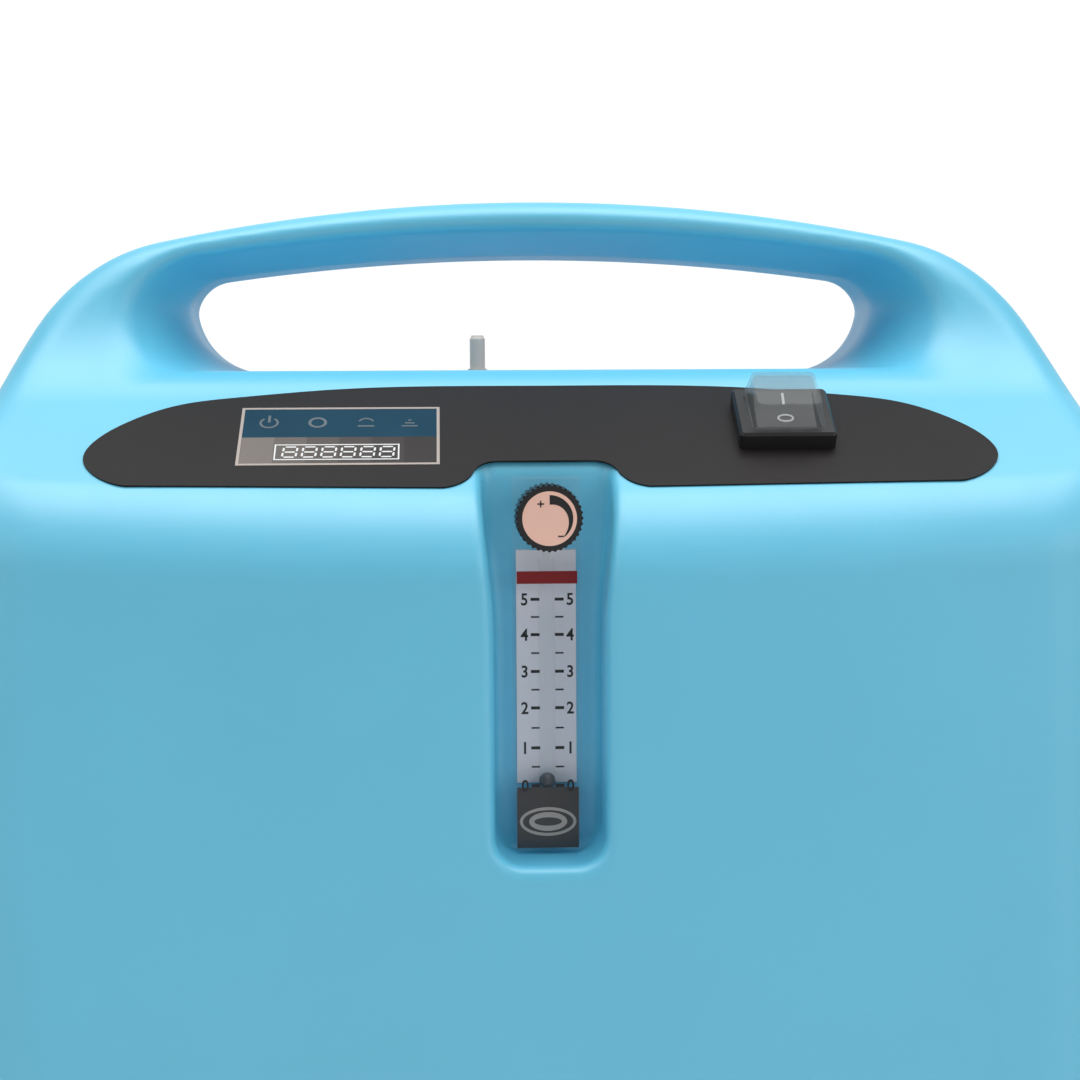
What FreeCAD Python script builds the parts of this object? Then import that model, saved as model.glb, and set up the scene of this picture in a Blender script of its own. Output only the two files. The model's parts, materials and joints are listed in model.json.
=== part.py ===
import FreeCAD, Part
import math
import os
from FreeCAD import Vector as V

# Bedside oxygen concentrator: X right, Y back, Z up, origin at the centre of the footprint on the floor, mm.

# overall
body_width = 363.0
body_depth = 250.0
body_height = 590.0
wall = 3.0
tray_bottom = 58.0
tray_top = 66.0

# casing outline
crown_radius = 600.0
crown_half_angle = 12.0
shoulder_radius = 60.0
shoulder_angle = 60.0
front_corner_r = 33.0
rear_corner_r = 24.0
parting_y = -10.0

# slanted panel and handle
panel_slope = 33.0
ledge_height = 488.5
ledge_r = 14.0
arch_front_y = -42.0
arch_rear_y = 28.0
valley_r = 22.0
deck_rear_height = 526.0
grip_half_width = 115.0
grip_floor = 534.0
grip_top_centre = 572.0
grip_top_end = 563.5

# flow-meter recess and flow meter
recess_half_top = 19.5
recess_half = 16.5
recess_back_y = -99.0
recess_floor = 386.4
meter_half_width = 10.45
meter_face_y = -106.0
meter_back_y = -99.3
label_t = 0.3
port_heights = (400.0, 480.0)
meter_top = 501.3
float_diameter = 5.0
float_fit = 0.1
float_axis_y = -102.6
float_rest_z = 408.4
knob_z = 489.7
knob_diameter = 20.0
disc_diameter = 16.0
stem_diameter = 6.0
stem_fit = 0.05

# panel parts, positions along the slope measured at their centre
lcd_x = -62.75
lcd_y = -87.25
lcd_width = 61.5
lcd_length = 31.4
switch_x = 74.8
switch_y = -83.6
switch_width = 30.0
switch_length = 26.0
switch_height = 6.2
rocker_pin_d = 2.4
rocker_fit = 0.05
membrane_half = 139.5
membrane_t = 0.6

# humidifier
pocket_half = 50.0
pocket_front_y = 44.0
pocket_floor = 345.0
jar_diameter = 72.0
jar_y = 86.0
jar_top = 480.0
lid_top = 512.0
nozzle_x = -17.6
nozzle_top = 549.3
nozzle_diameter = 6.0
nozzle_bore = 3.2
spigot_x = -28.0

# casters
caster_x = 139.0
caster_y = 83.0
wheel_r = 24.0
wheel_width = 18.0
caster_trail = 16.0
axle_d = 8.0
axle_fit = 0.05
stem_d = 9.9
swivel_fit = 0.05

# service parts on the rear wall
vent_half = 50.0
filter_x = -105.0
fan_x = 105.0
vent_z = 150.0
loose_gap = 0.4
inlet_z = 108.0
breaker_z = 152.0
breaker_r = 8.0

# inside
shelf_z = 236.0
shaft_d = 10.0
shaft_fit = 0.05
compressor_z = 150.0
compressor_y = -15.0
bed_x = 135.0
bed_y = 68.0
bed_d = 66.0
hose_d = 8.0

front_y = -body_depth / 2
rear_y = body_depth / 2
tan_slope = math.tan(math.radians(panel_slope))
cos_slope = math.cos(math.radians(panel_slope))


def box(x0, x1, y0, y1, z0, z1):
    return Part.makeBox(x1 - x0, y1 - y0, z1 - z0, V(x0, y0, z0))


def rod(radius, start, end):
    way = end - start
    return Part.makeCylinder(radius, way.Length, start, way)


def join(shapes):
    whole = shapes[0]
    for shape in shapes[1:]:
        whole = whole.fuse(shape)
    return whole.removeSplitter()


def rounded_face(points, radii):
    """Face of a polygon whose corners are rounded by the given radii."""
    count = len(points)
    corners = []
    for i, corner in enumerate(points):
        if radii[i] <= 0:
            corners.append((corner, None, corner))
            continue
        back = (points[i - 1] - corner).normalize()
        ahead = (points[(i + 1) % count] - corner).normalize()
        half = back.getAngle(ahead) / 2
        cut = radii[i] / math.tan(half)
        middle = (back + ahead).normalize() * (radii[i] / math.sin(half) - radii[i])
        corners.append((corner + back * cut, corner + middle, corner + ahead * cut))
    edges = []
    for i, (start, middle, end) in enumerate(corners):
        if middle is not None:
            edges.append(Part.Arc(start, middle, end).toShape())
        following = corners[(i + 1) % count][0]
        if end.distanceToPoint(following) > 1e-6:
            edges.append(Part.makeLine(end, following))
    return Part.Face(Part.Wire(edges))


def rounded_block(width, length, z0, z1, radius, x=0.0, y=0.0):
    a = width / 2
    b = length / 2
    points = [V(x - a, y - b, z0), V(x + a, y - b, z0), V(x + a, y + b, z0), V(x - a, y + b, z0)]
    return rounded_face(points, [radius] * 4).extrude(V(0, 0, z1 - z0))


def panel_z(y):
    return ledge_height + (y - front_y) * tan_slope


def on_panel(shape, x, y):
    """Move a shape from its own axes (x across, y up the slope, z out) onto the slanted panel."""
    turned = shape.copy()
    turned.Placement = FreeCAD.Placement(V(x, y, panel_z(y)), FreeCAD.Rotation(V(1, 0, 0), panel_slope))
    return turned


def outline_prism(inset, bottom):
    """Front outline of the casing (vertical sides, shoulders, crown) as a long prism along Y."""
    a1 = math.radians(90 - crown_half_angle)
    a2 = math.radians(90 - shoulder_angle)
    mid_crown = V(0, 0, body_height - crown_radius)
    crown_end = mid_crown + V(math.cos(a1), 0, math.sin(a1)) * crown_radius
    mid_shoulder = crown_end - V(math.cos(a1), 0, math.sin(a1)) * shoulder_radius
    shoulder_end = mid_shoulder + V(math.cos(a2), 0, math.sin(a2)) * shoulder_radius
    side_radius = (body_width / 2 - shoulder_end.x) / (1 - math.cos(a2))
    mid_side = shoulder_end - V(math.cos(a2), 0, math.sin(a2)) * side_radius

    def at(centre, radius, angle):
        return centre + V(math.cos(angle), 0, math.sin(angle)) * (radius - inset)

    def mirror(p):
        return V(-p.x, p.y, p.z)

    top = at(mid_crown, crown_radius, math.pi / 2)
    p1 = at(mid_crown, crown_radius, a1)
    p12 = at(mid_shoulder, shoulder_radius, (a1 + a2) / 2)
    p2 = at(mid_shoulder, shoulder_radius, a2)
    p23 = at(mid_side, side_radius, a2 / 2)
    p3 = at(mid_side, side_radius, 0.0)
    p4 = V(p3.x, 0, bottom)
    edges = [Part.makeLine(mirror(p4), p4), Part.makeLine(p4, p3),
             Part.Arc(p3, p23, p2).toShape(), Part.Arc(p2, p12, p1).toShape(),
             Part.Arc(p1, top, mirror(p1)).toShape(),
             Part.Arc(mirror(p1), mirror(p12), mirror(p2)).toShape(),
             Part.Arc(mirror(p2), mirror(p23), mirror(p3)).toShape(),
             Part.makeLine(mirror(p3), mirror(p4))]
    prism = Part.Face(Part.Wire(edges)).extrude(V(0, 2 * body_depth, 0))
    prism.translate(V(0, -body_depth, 0))
    return prism


def side_prism(inset, bottom):
    """Side profile: front wall, rounded ledge, slanted panel, handle arch, rear deck, rear wall."""
    lift = inset / cos_slope
    top = body_height + 40
    deck_at_arch = grip_floor - inset
    deck_at_rear = deck_rear_height - inset
    points = [V(0, front_y + inset, bottom),
              V(0, front_y + inset, panel_z(front_y + inset) - lift),
              V(0, arch_front_y + inset, panel_z(arch_front_y + inset) - lift),
              V(0, arch_front_y + inset, top),
              V(0, arch_rear_y - inset, top),
              V(0, arch_rear_y - inset, deck_at_arch),
              V(0, rear_y - inset, deck_at_rear),
              V(0, rear_y - inset, bottom)]
    radii = [0, ledge_r - inset, valley_r + inset, 0, 0, 10 + inset, 9 - inset, 0]
    prism = rounded_face(points, radii).extrude(V(2 * body_width, 0, 0))
    prism.translate(V(-body_width, 0, 0))
    return prism


def plan_prism(inset, bottom, top):
    a = body_width / 2 - inset
    points = [V(-a, front_y + inset, bottom), V(a, front_y + inset, bottom),
              V(a, rear_y - inset, bottom), V(-a, rear_y - inset, bottom)]
    front = front_corner_r - inset
    rear = rear_corner_r - inset
    return rounded_face(points, [front, front, rear, rear]).extrude(V(0, 0, top - bottom))


def casing_block(inset, bottom):
    block = outline_prism(inset, bottom).common(side_prism(inset, bottom))
    return block.common(plan_prism(inset, bottom, body_height + 20))


def grip_tunnel(grow):
    """Through-opening of the carry handle, with a slightly arched top."""
    a = grip_half_width + grow
    low = grip_floor - grow
    end = grip_top_end + grow
    top = grip_top_centre + grow
    floor_r = 22.0
    knee = 10.0
    b = a - floor_r
    c = a - knee
    diag = 1 - math.sqrt(0.5)
    edges = [Part.makeLine(V(-b, 0, low), V(b, 0, low)),
             Part.Arc(V(b, 0, low), V(a - floor_r * diag, 0, low + 16 * diag), V(a, 0, low + 16)).toShape(),
             Part.makeLine(V(a, 0, low + 16), V(a, 0, end - 8)),
             Part.Arc(V(a, 0, end - 8), V(a - knee * diag, 0, end - 8 * diag), V(c, 0, end)).toShape(),
             Part.Arc(V(c, 0, end), V(0, 0, top), V(-c, 0, end)).toShape(),
             Part.Arc(V(-c, 0, end), V(knee * diag - a, 0, end - 8 * diag), V(-a, 0, end - 8)).toShape(),
             Part.makeLine(V(-a, 0, end - 8), V(-a, 0, low + 16)),
             Part.Arc(V(-a, 0, low + 16), V(floor_r * diag - a, 0, low + 16 * diag), V(-b, 0, low)).toShape()]
    tunnel = Part.Face(Part.Wire(edges)).extrude(V(0, 2 * body_depth, 0))
    tunnel.translate(V(0, -body_depth, 0))
    return tunnel


def meter_recess(grow):
    top = body_height
    a = recess_half_top + grow
    b = recess_half + grow
    low = recess_floor - grow
    points = [V(-b, 0, low), V(b, 0, low), V(b, 0, 462.0), V(a, 0, 490.0), V(a, 0, top),
              V(-a, 0, top), V(-a, 0, 490.0), V(-b, 0, 462.0)]
    recess = rounded_face(points, [9, 9, 30, 30, 0, 0, 30, 30])
    recess = recess.extrude(V(0, recess_back_y + grow - 2 * front_y, 0))
    recess.translate(V(0, 2 * front_y, 0))
    return recess


def humidifier_pocket(grow):
    a = pocket_half + grow
    pocket = rounded_block(2 * a, 2 * (rear_y + 30 - pocket_front_y + grow), pocket_floor - grow,
                           body_height, 14 + grow, 0, rear_y + 30)
    return pocket


def rear_cuts():
    cuts = [box(x - vent_half - loose_gap, x + vent_half + loose_gap, rear_y - 5, rear_y + 5,
                vent_z - vent_half - loose_gap, vent_z + vent_half + loose_gap) for x in (filter_x, fan_x)]
    cuts.append(box(-15.2, 15.2, rear_y - 5, rear_y + 5, inlet_z - 12.2, inlet_z + 12.2))
    cuts.append(rod(breaker_r + 0.2, V(0, rear_y - 5, breaker_z), V(0, rear_y + 5, breaker_z)))
    cuts.append(rod(4.05, V(spigot_x, pocket_front_y - 6, 505), V(spigot_x, pocket_front_y + 1, 505)))
    return cuts


def front_cuts():
    window = Part.makeBox(lcd_width - 3, lcd_length - 3, 12, V(-lcd_width / 2 + 1.5, -lcd_length / 2 + 1.5, -8))
    socket = Part.makeBox(27.0, 23.0, 12, V(-13.5, -11.5, -8))
    ports = [rod(3.1, V(0, recess_back_y - 2, z), V(0, recess_back_y + 6, z)) for z in port_heights]
    return [on_panel(window, lcd_x, lcd_y), on_panel(socket, switch_x, switch_y)] + ports


screw_points = [(x, z) for x, z in ((-150.0, 80.0), (150.0, 80.0), (-120.0, 505.0), (120.0, 505.0))]


def screw(x, z, grow=0.0):
    shank = rod(2.0 + grow, V(x, rear_y - 22, z), V(x, rear_y - 1.0, z))
    head = rod(4.0 + grow, V(x, rear_y - 2.2, z), V(x, rear_y - 0.6 + 5 * grow, z))
    return shank.fuse(head)


def casing_shells():
    outer = casing_block(0.0, tray_top)
    cavity = casing_block(wall, tray_top - 10)
    for keep in (grip_tunnel(wall), meter_recess(wall), humidifier_pocket(wall)):
        cavity = cavity.cut(keep)
    shell = outer.cut(cavity)
    for hollow in [grip_tunnel(0.0), meter_recess(0.0), humidifier_pocket(0.0)] + rear_cuts() + front_cuts():
        shell = shell.cut(hollow)
    front = shell.common(box(-300, 300, -300, parting_y, 0, 700))
    rear = shell.common(box(-300, 300, parting_y, 300, 0, 700))
    for x, z in screw_points:
        rear = rear.cut(screw(x, z, 0.3))
        post = rod(5.0, V(x, front_y, z), V(x, rear_y - 14, z)).common(outer)
        front = front.fuse(post.cut(rod(2.0, V(x, rear_y - 22, z), V(x, rear_y, z))))
    return front.removeSplitter(), rear.removeSplitter()


def base_tray():
    return plan_prism(0.0, tray_bottom, tray_top).cut(plan_prism(wall, tray_bottom - 1, tray_bottom + 4))


# ---- slanted control panel ----
def control_membrane():
    """Thin dark overlay: long lens with round tips and a notch around the flow-meter recess."""
    tip = membrane_half
    left = [V(14 - tip, -9, 0), V(4 - tip, -3, 0), V(-tip, 5.5, 0), V(3 - tip, 15.5, 0), V(10.5 - tip, 24.2, 0),
            V(25.5 - tip, 34, 0), V(44.5 - tip, 38.5, 0), V(72.5 - tip, 42.6, 0)]
    right = [V(-p.x, p.y, 0) for p in reversed(left)]
    rim = Part.BSplineCurve()
    rim.interpolate(left + [V(0, 44.4, 0)] + right)
    edges = [rim.toShape(),
             Part.makeLine(right[-1], V(31, -11, 0)),
             Part.Arc(V(31, -11, 0), V(25.5, -8.5, 0), V(22, -3.5, 0)).toShape(),
             Part.Arc(V(22, -3.5, 0), V(19, 1, 0), V(14, 2.5, 0)).toShape(),
             Part.makeLine(V(14, 2.5, 0), V(-14, 2.5, 0)),
             Part.Arc(V(-14, 2.5, 0), V(-19, 1, 0), V(-22, -3.5, 0)).toShape(),
             Part.Arc(V(-22, -3.5, 0), V(-25.5, -8.5, 0), V(-31, -11, 0)).toShape(),
             Part.makeLine(V(-31, -11, 0), left[0])]
    sheet = Part.Face(Part.Wire(edges)).extrude(V(0, 0, membrane_t))
    sheet = on_panel(sheet, 0, front_y + 24)
    window = on_panel(Part.makeBox(lcd_width, lcd_length, 4, V(-lcd_width / 2, -lcd_length / 2, -2)), lcd_x, lcd_y)
    seat = on_panel(rounded_block(switch_width, switch_length, -2, 4, 1.5), switch_x, switch_y)
    return sheet.cut(window).cut(seat)


def lcd_display():
    pane = Part.makeBox(lcd_width, lcd_length, membrane_t, V(-lcd_width / 2, -lcd_length / 2, 0))
    block = Part.makeBox(lcd_width - 4, lcd_length - 4, 5, V(2 - lcd_width / 2, 2 - lcd_length / 2, -5))
    return on_panel(pane.fuse(block).removeSplitter(), lcd_x, lcd_y)


def display_board():
    board = Part.makeBox(lcd_width + 8, lcd_length + 6, 1.6, V(-lcd_width / 2 - 4, -lcd_length / 2 - 3, -6.6))
    speaker = rod(6.0, V(20, 0, -12.6), V(20, 0, -6.6))
    return on_panel(board.fuse(speaker).removeSplitter(), lcd_x, lcd_y)


def switch_base():
    frame = rounded_block(switch_width, switch_length, 0, switch_height, 1.5)
    frame = frame.makeChamfer(0.8, [e for e in frame.Edges if e.BoundBox.ZMin > switch_height - 0.01])
    body = Part.makeBox(26.4, 22.4, 24, V(-13.2, -11.2, -24))
    well = Part.makeBox(21.0, 19.4, switch_height + 10.5, V(-10.5, -9.7, -10))
    pin_hole = rod(rocker_pin_d / 2 + rocker_fit, V(-12, 0, 1), V(12, 0, 1))
    return on_panel(frame.fuse(body).cut(well).cut(pin_hole).removeSplitter(), switch_x, switch_y)


def switch_rocker():
    points = [V(-9.2, -8.6, 5.4), V(-9.2, 0, 7.0), V(-9.2, 7.0, 9.4), V(-9.2, 7.6, 3.0), V(-9.2, 4, -4.5),
              V(-9.2, -4, -4.5), V(-9.2, -8.2, 0.5)]
    paddle = rounded_face(points, [0.8, 20, 0.8, 1, 1, 1, 1]).extrude(V(18.4, 0, 0))
    pin = rod(rocker_pin_d / 2, V(-11.8, 0, 1), V(11.8, 0, 1))
    return on_panel(paddle.fuse(pin).removeSplitter(), switch_x, switch_y)


def switch_cap():
    """Clear soft splash cap standing on the switch frame."""
    def layer(width, length, z):
        a = width / 2
        b = length / 2
        points = [V(-a, -b, z), V(a, -b, z), V(a, b, z), V(-a, b, z)]
        return rounded_face(points, [2.0] * 4).OuterWire
    z0 = switch_height
    outside = Part.makeLoft([layer(23.6, 21.6, z0), layer(20.0, 18.0, z0 + 8.4)], True)
    inside = Part.makeLoft([layer(22.2, 20.2, z0 - 0.2), layer(18.8, 16.8, z0 + 7.5)], True)
    return on_panel(outside.cut(inside), switch_x, switch_y)


# ---- flow meter ----
def flowmeter_block():
    block = box(-meter_half_width, meter_half_width, meter_face_y, meter_back_y, recess_floor + 1.4, meter_top)
    block = block.makeChamfer(0.6, [e for e in block.Edges if e.BoundBox.YMax < meter_face_y + 0.01])
    bore = rod(float_diameter / 2 + float_fit, V(0, float_axis_y, float_rest_z - 4), V(0, float_axis_y, 476))
    passage = rod(1.2, V(0, float_axis_y, port_heights[0]), V(0, float_axis_y, port_heights[1]))
    stem_hole = rod(stem_diameter / 2 + stem_fit, V(0, meter_face_y - 1, knob_z), V(0, -100.6, knob_z))
    ports = [rod(2.0, V(0, float_axis_y, z), V(0, meter_back_y + 1, z)) for z in port_heights]
    for hollow in [bore, passage, stem_hole] + ports:
        block = block.cut(hollow)
    return block


def scale_plate():
    """White film behind the clear block, with two long windows beside the float tube."""
    y = meter_back_y
    plate = box(-9.15, 9.15, y, y + label_t, 407.2, 478.9)
    for x in (-3.65, 3.65):
        plate = plate.cut(box(x - 1.35, x + 1.35, y - 1, y + 1, 408.2, 480.0))
    return plate


def flow_float():
    return Part.makeSphere(float_diameter / 2, V(0, float_axis_y, float_rest_z))


def flow_knob():
    back = meter_face_y - 1.5
    knob = rod(knob_diameter / 2 - 0.5, V(0, front_y + 0.6, knob_z), V(0, back, knob_z))
    ridges = []
    for i in range(36):
        angle = math.radians(i * 10.0)
        r = knob_diameter / 2 - 0.5
        at = V(r * math.cos(angle), 0, knob_z + r * math.sin(angle))
        ridges.append(rod(0.5, at + V(0, front_y + 2, 0), at + V(0, back - 1, 0)))
    knob = knob.fuse(ridges)
    seat = rod(disc_diameter / 2, V(0, front_y, knob_z), V(0, front_y + 1.2, knob_z))
    return knob.cut(seat).cut(rod(stem_diameter / 2, V(0, back - 8, knob_z), V(0, back + 1, knob_z)))


def knob_disc():
    return rod(disc_diameter / 2, V(0, front_y + 0.5, knob_z), V(0, front_y + 1.2, knob_z))


def needle_stem():
    back = meter_face_y - 1.5
    stem = rod(stem_diameter / 2, V(0, back - 8, knob_z), V(0, -103.4, knob_z))
    tip = Part.makeCone(stem_diameter / 2, 1.0, 2, V(0, -103.4, knob_z), V(0, 1, 0))
    return stem.fuse(tip).removeSplitter()


def barb(start, end, radius):
    way = (end - start).normalize()
    core = rod(radius, start, end)
    ring = Part.makeCone(radius + 0.8, radius, 3.0, end - way * 5, way)
    return core.fuse(ring)


def flowmeter_fittings():
    return [barb(V(0, meter_back_y, z), V(0, -66, z), 3.0).cut(scale_plate()) for z in port_heights]


# ---- humidifier ----
def turned(points, x, y):
    """Body of revolution about a vertical line from (radius, height) pairs."""
    wire = Part.makePolygon([V(r, 0, z) for r, z in points + points[:1]])
    solid = Part.Face(wire).revolve(V(0, 0, 0), V(0, 0, 1), 360)
    solid.translate(V(x, y, 0))
    return solid


def humidifier_jar():
    r = jar_diameter / 2
    z0 = pocket_floor + loose_gap
    return turned([(0, z0), (r - 2, z0), (r, z0 + 2), (r, 458), (29, 467), (29, jar_top), (27, jar_top),
                   (27, 466), (r - 2, 457), (r - 2, z0 + 3), (0, z0 + 3)], 0, jar_y)


inlet_x = 14.0


def humidifier_lid():
    lid = turned([(29.0, 468), (33, 468), (33.5, 500), (30, lid_top), (0, lid_top), (0, lid_top - 3),
                  (27, lid_top - 6), (27, jar_top), (29, jar_top)], 0, jar_y)
    r = nozzle_diameter / 2
    y = jar_y - 1
    top = nozzle_top
    nozzle = join([rod(r + 1.6, V(nozzle_x, y, lid_top - 1), V(nozzle_x, y, lid_top + 8)),
                   rod(r + 0.8, V(nozzle_x, y, lid_top), V(nozzle_x, y, top - 13)),
                   rod(r, V(nozzle_x, y, top - 14), V(nozzle_x, y, top - 1.5)),
                   Part.makeCone(r, r - 0.7, 1.5, V(nozzle_x, y, top - 1.5), V(0, 0, 1))])
    bore = rod(nozzle_bore / 2, V(nozzle_x, y, lid_top - 8), V(nozzle_x, y, top + 1))
    tube_hole = rod(3.0, V(inlet_x, jar_y, lid_top - 10), V(inlet_x, jar_y, lid_top + 1))
    return join([lid, nozzle]).cut(bore).cut(tube_hole)


def humidifier_tube():
    tube = rod(3.0, V(inlet_x, jar_y, 366), V(inlet_x, jar_y, lid_top))
    diffuser = rod(6.0, V(inlet_x, jar_y, 354), V(inlet_x, jar_y, 366))
    bore = rod(1.8, V(inlet_x, jar_y, 360), V(inlet_x, jar_y, lid_top + 1))
    return join([tube, diffuser]).cut(bore)


def humidifier_nut():
    centre = V(inlet_x, jar_y, lid_top)
    sides = [centre + V(9.5 * math.cos(math.radians(60 * i)), 9.5 * math.sin(math.radians(60 * i)), 0)
             for i in range(6)]
    nut = Part.Face(Part.makePolygon(sides + sides[:1])).extrude(V(0, 0, 14))
    collar = rod(5.0, centre, centre + V(0, 0, 19))
    return nut.fuse(collar).cut(rod(2.0, centre, centre + V(0, 0, 20))).removeSplitter()


def oxygen_spigot():
    inner = V(spigot_x, pocket_front_y - 6, 505)
    return join([barb(V(spigot_x, pocket_front_y, 505), V(spigot_x, pocket_front_y + 14, 505), 3.0),
                 rod(4.0, inner, V(spigot_x, pocket_front_y, 505)),
                 rod(6.5, V(spigot_x, pocket_front_y, 505), V(spigot_x, pocket_front_y + 2, 505))])


# ---- rear wall ----
def louvre(x, thickness):
    half = vent_half
    plate = box(x - half, x + half, rear_y - thickness, rear_y, vent_z - half, vent_z + half)
    for i in range(9):
        z = vent_z - 40 + i * 10
        plate = plate.cut(box(x - 42, x + 42, rear_y - thickness - 1, rear_y + 1, z - 2.5, z + 2.5))
    return plate


def filter_cover():
    return louvre(filter_x, 3.0)


def exhaust_grille():
    grow = Part.makeBox(2 * vent_half + 0.8, 3.0, 2 * vent_half + 0.8,
                        V(fan_x - vent_half - 0.4, rear_y - 3.0, vent_z - vent_half - 0.4))
    hole = Part.makeBox(2 * vent_half - 2, 5.0, 2 * vent_half - 2,
                        V(fan_x - vent_half + 1, rear_y - 4.0, vent_z - vent_half + 1))
    return grow.cut(hole).fuse(louvre(fan_x, 3.0)).removeSplitter()


def foam_prefilter():
    return box(filter_x - 46, filter_x + 46, rear_y - 14, rear_y - 3, vent_z - 46, vent_z + 46)


def intake_filter():
    return join([rod(28, V(filter_x, 45, vent_z), V(filter_x, 95, vent_z)),
                 rod(32, V(filter_x, 91, vent_z), V(filter_x, 96, vent_z))])


def power_inlet():
    body = box(-15, 15, rear_y - 24, rear_y - 0.2, inlet_z - 12, inlet_z + 12)
    socket = rounded_block(24.4, 16.4, 0, 20, 3)
    socket.Placement = FreeCAD.Placement(V(0, rear_y - 17, inlet_z), FreeCAD.Rotation(V(1, 0, 0), -90))
    body = body.cut(socket)
    for pin in inlet_pins():
        body = body.cut(pin)
    return body


def inlet_pins():
    return [box(x - 1, x + 1, rear_y - 21, rear_y - 5, inlet_z + z - 2, inlet_z + z + 2)
            for x, z in ((-7.0, -1.5), (0.0, 2.0), (7.0, -1.5))]


def circuit_breaker():
    body = rod(breaker_r, V(0, rear_y - 28, breaker_z), V(0, rear_y - 0.2, breaker_z))
    return body.cut(rod(4.1, V(0, rear_y - 13, breaker_z), V(0, rear_y, breaker_z)))


def breaker_button():
    return rod(3.8, V(0, rear_y - 12.5, breaker_z), V(0, rear_y - 0.8, breaker_z))


# ---- lower compartment ----
def compressor_housing():
    y = compressor_y
    z = compressor_z
    bodies = [rod(45, V(-56, y, z), V(56, y, z)), box(-60, 60, y - 42, y + 42, z - 50, z - 42)]
    for side in (-1, 1):
        bodies.append(rod(32, V(side * 55, y, z), V(side * 94, y, z)))
        bodies.append(box(min(side * 58, side * 92), max(side * 58, side * 92), y - 26, y + 26, z, z + 42))
    shaft_hole = rod(shaft_d / 2 + shaft_fit, V(-100, y, z), V(100, y, z))
    return join(bodies).cut(shaft_hole)


def cylinder_heads():
    heads = []
    for side in (-1, 1):
        x0 = min(side * 56, side * 94)
        plates = [box(x0, x0 + 38, compressor_y - 27, compressor_y + 27, compressor_z + 42 + i * 6,
                      compressor_z + 45 + i * 6) for i in range(5)]
        core = box(x0 + 6, x0 + 32, compressor_y - 20, compressor_y + 20, compressor_z + 42, compressor_z + 69)
        heads.append(join([core] + plates))
    return heads


def compressor_shaft():
    return rod(shaft_d / 2, V(-116, compressor_y, compressor_z), V(116, compressor_y, compressor_z))


def impeller(blades, r_hub, r_tip, x0, x1):
    """Axial fan along X about the origin."""
    parts = [rod(r_hub, V(x0, 0, 0), V(x1, 0, 0))]
    for i in range(blades):
        blade = box(x0 + 1.5, x0 + 3.3, r_hub - 2, r_tip, -0.28 * r_tip, 0.28 * r_tip)
        blade.rotate(V((x0 + x1) / 2, 0, 0), V(0, 1, 0), 28)
        blade = blade.common(rod(r_tip, V(x0, 0, 0), V(x1, 0, 0)))
        blade.rotate(V(0, 0, 0), V(1, 0, 0), 360.0 * i / blades)
        parts.append(blade)
    return join(parts)


def compressor_fans():
    fans = []
    for x0 in (-113.0, 101.0):
        fan = impeller(6, 11, 36, x0, x0 + 12)
        fan.translate(V(0, compressor_y, compressor_z))
        fans.append(fan.cut(compressor_shaft()))
    return fans


def compressor_mounts():
    return [rod(8, V(x, compressor_y + y, tray_top), V(x, compressor_y + y, compressor_z - 50))
            for x in (-48, 48) for y in (-32, 32)]


def fan_frame():
    y0 = rear_y - 30
    y1 = rear_y - 5
    frame = rounded_block(110, 110, 0, y1 - y0, 6)
    frame = frame.cut(rod(51, V(0, 0, -1), V(0, 0, 30)))
    hub = rod(18, V(0, 0, 0), V(0, 0, 2.5))
    struts = []
    for i in range(4):
        strut = box(15, 52, -2, 2, 0, 2.5)
        strut.rotate(V(0, 0, 0), V(0, 0, 1), 45 + 90 * i)
        struts.append(strut)
    pin = rod(3.0, V(0, 0, 0), V(0, 0, 16))
    frame = join([frame, hub, pin] + struts)
    frame.Placement = FreeCAD.Placement(V(fan_x, y0, vent_z), FreeCAD.Rotation(V(1, 0, 0), -90))
    return frame


def fan_rotor():
    rotor = impeller(7, 19, 50, 4, 22)
    rotor = rotor.cut(rod(3.0 + shaft_fit, V(3, 0, 0), V(17, 0, 0)))
    rotor.rotate(V(0, 0, 0), V(0, 0, 1), 90)
    rotor.translate(V(fan_x, rear_y - 30, vent_z))
    return rotor


def heat_exchanger():
    """Cooling coil bent to and fro behind the fan."""
    points = []
    for i in range(5):
        ends = [60.0, 150.0] if i % 2 == 0 else [150.0, 60.0]
        points += [(x, 62.0, 110.0 + 20 * i) for x in ends]
    return hose(points)


def exhaust_muffler():
    return join([rod(22, V(-60, -95, tray_top), V(-60, -95, 168)), rod(6, V(-60, -95, 168), V(-60, -95, 176))])


# ---- upper compartment ----
def mid_shelf():
    shelf = plan_prism(wall, shelf_z, shelf_z + 4)
    for x, y in ((64, 15), (-60, -95)):
        shelf = shelf.cut(rod(hose_d / 2 + 0.5, V(x, y, shelf_z - 1), V(x, y, shelf_z + 5)))
    return shelf


def sieve_beds():
    beds = []
    for x in (-bed_x, bed_x):
        beds.append(join([rod(bed_d / 2 - 2, V(x, bed_y, shelf_z + 4), V(x, bed_y, 468)),
                          rod(bed_d / 2, V(x, bed_y, shelf_z + 4), V(x, bed_y, shelf_z + 16)),
                          rod(bed_d / 2, V(x, bed_y, 456), V(x, bed_y, 470))]))
    return beds


def product_tank():
    return rod(30, V(-70, 85, shelf_z + 49), V(70, 85, shelf_z + 49))


def pressure_regulator():
    z = shelf_z + 80
    reg = join([rod(5, V(60, 85, z - 8), V(60, 85, z + 1)), rod(12, V(60, 85, z), V(60, 85, z + 22))])
    return reg.cut(product_tank())


def valve_manifold():
    block = box(-55, 55, -5, 35, shelf_z + 4, shelf_z + 34)
    return block.makeChamfer(1.5, [e for e in block.Edges if e.BoundBox.ZMin > shelf_z + 33])


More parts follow.
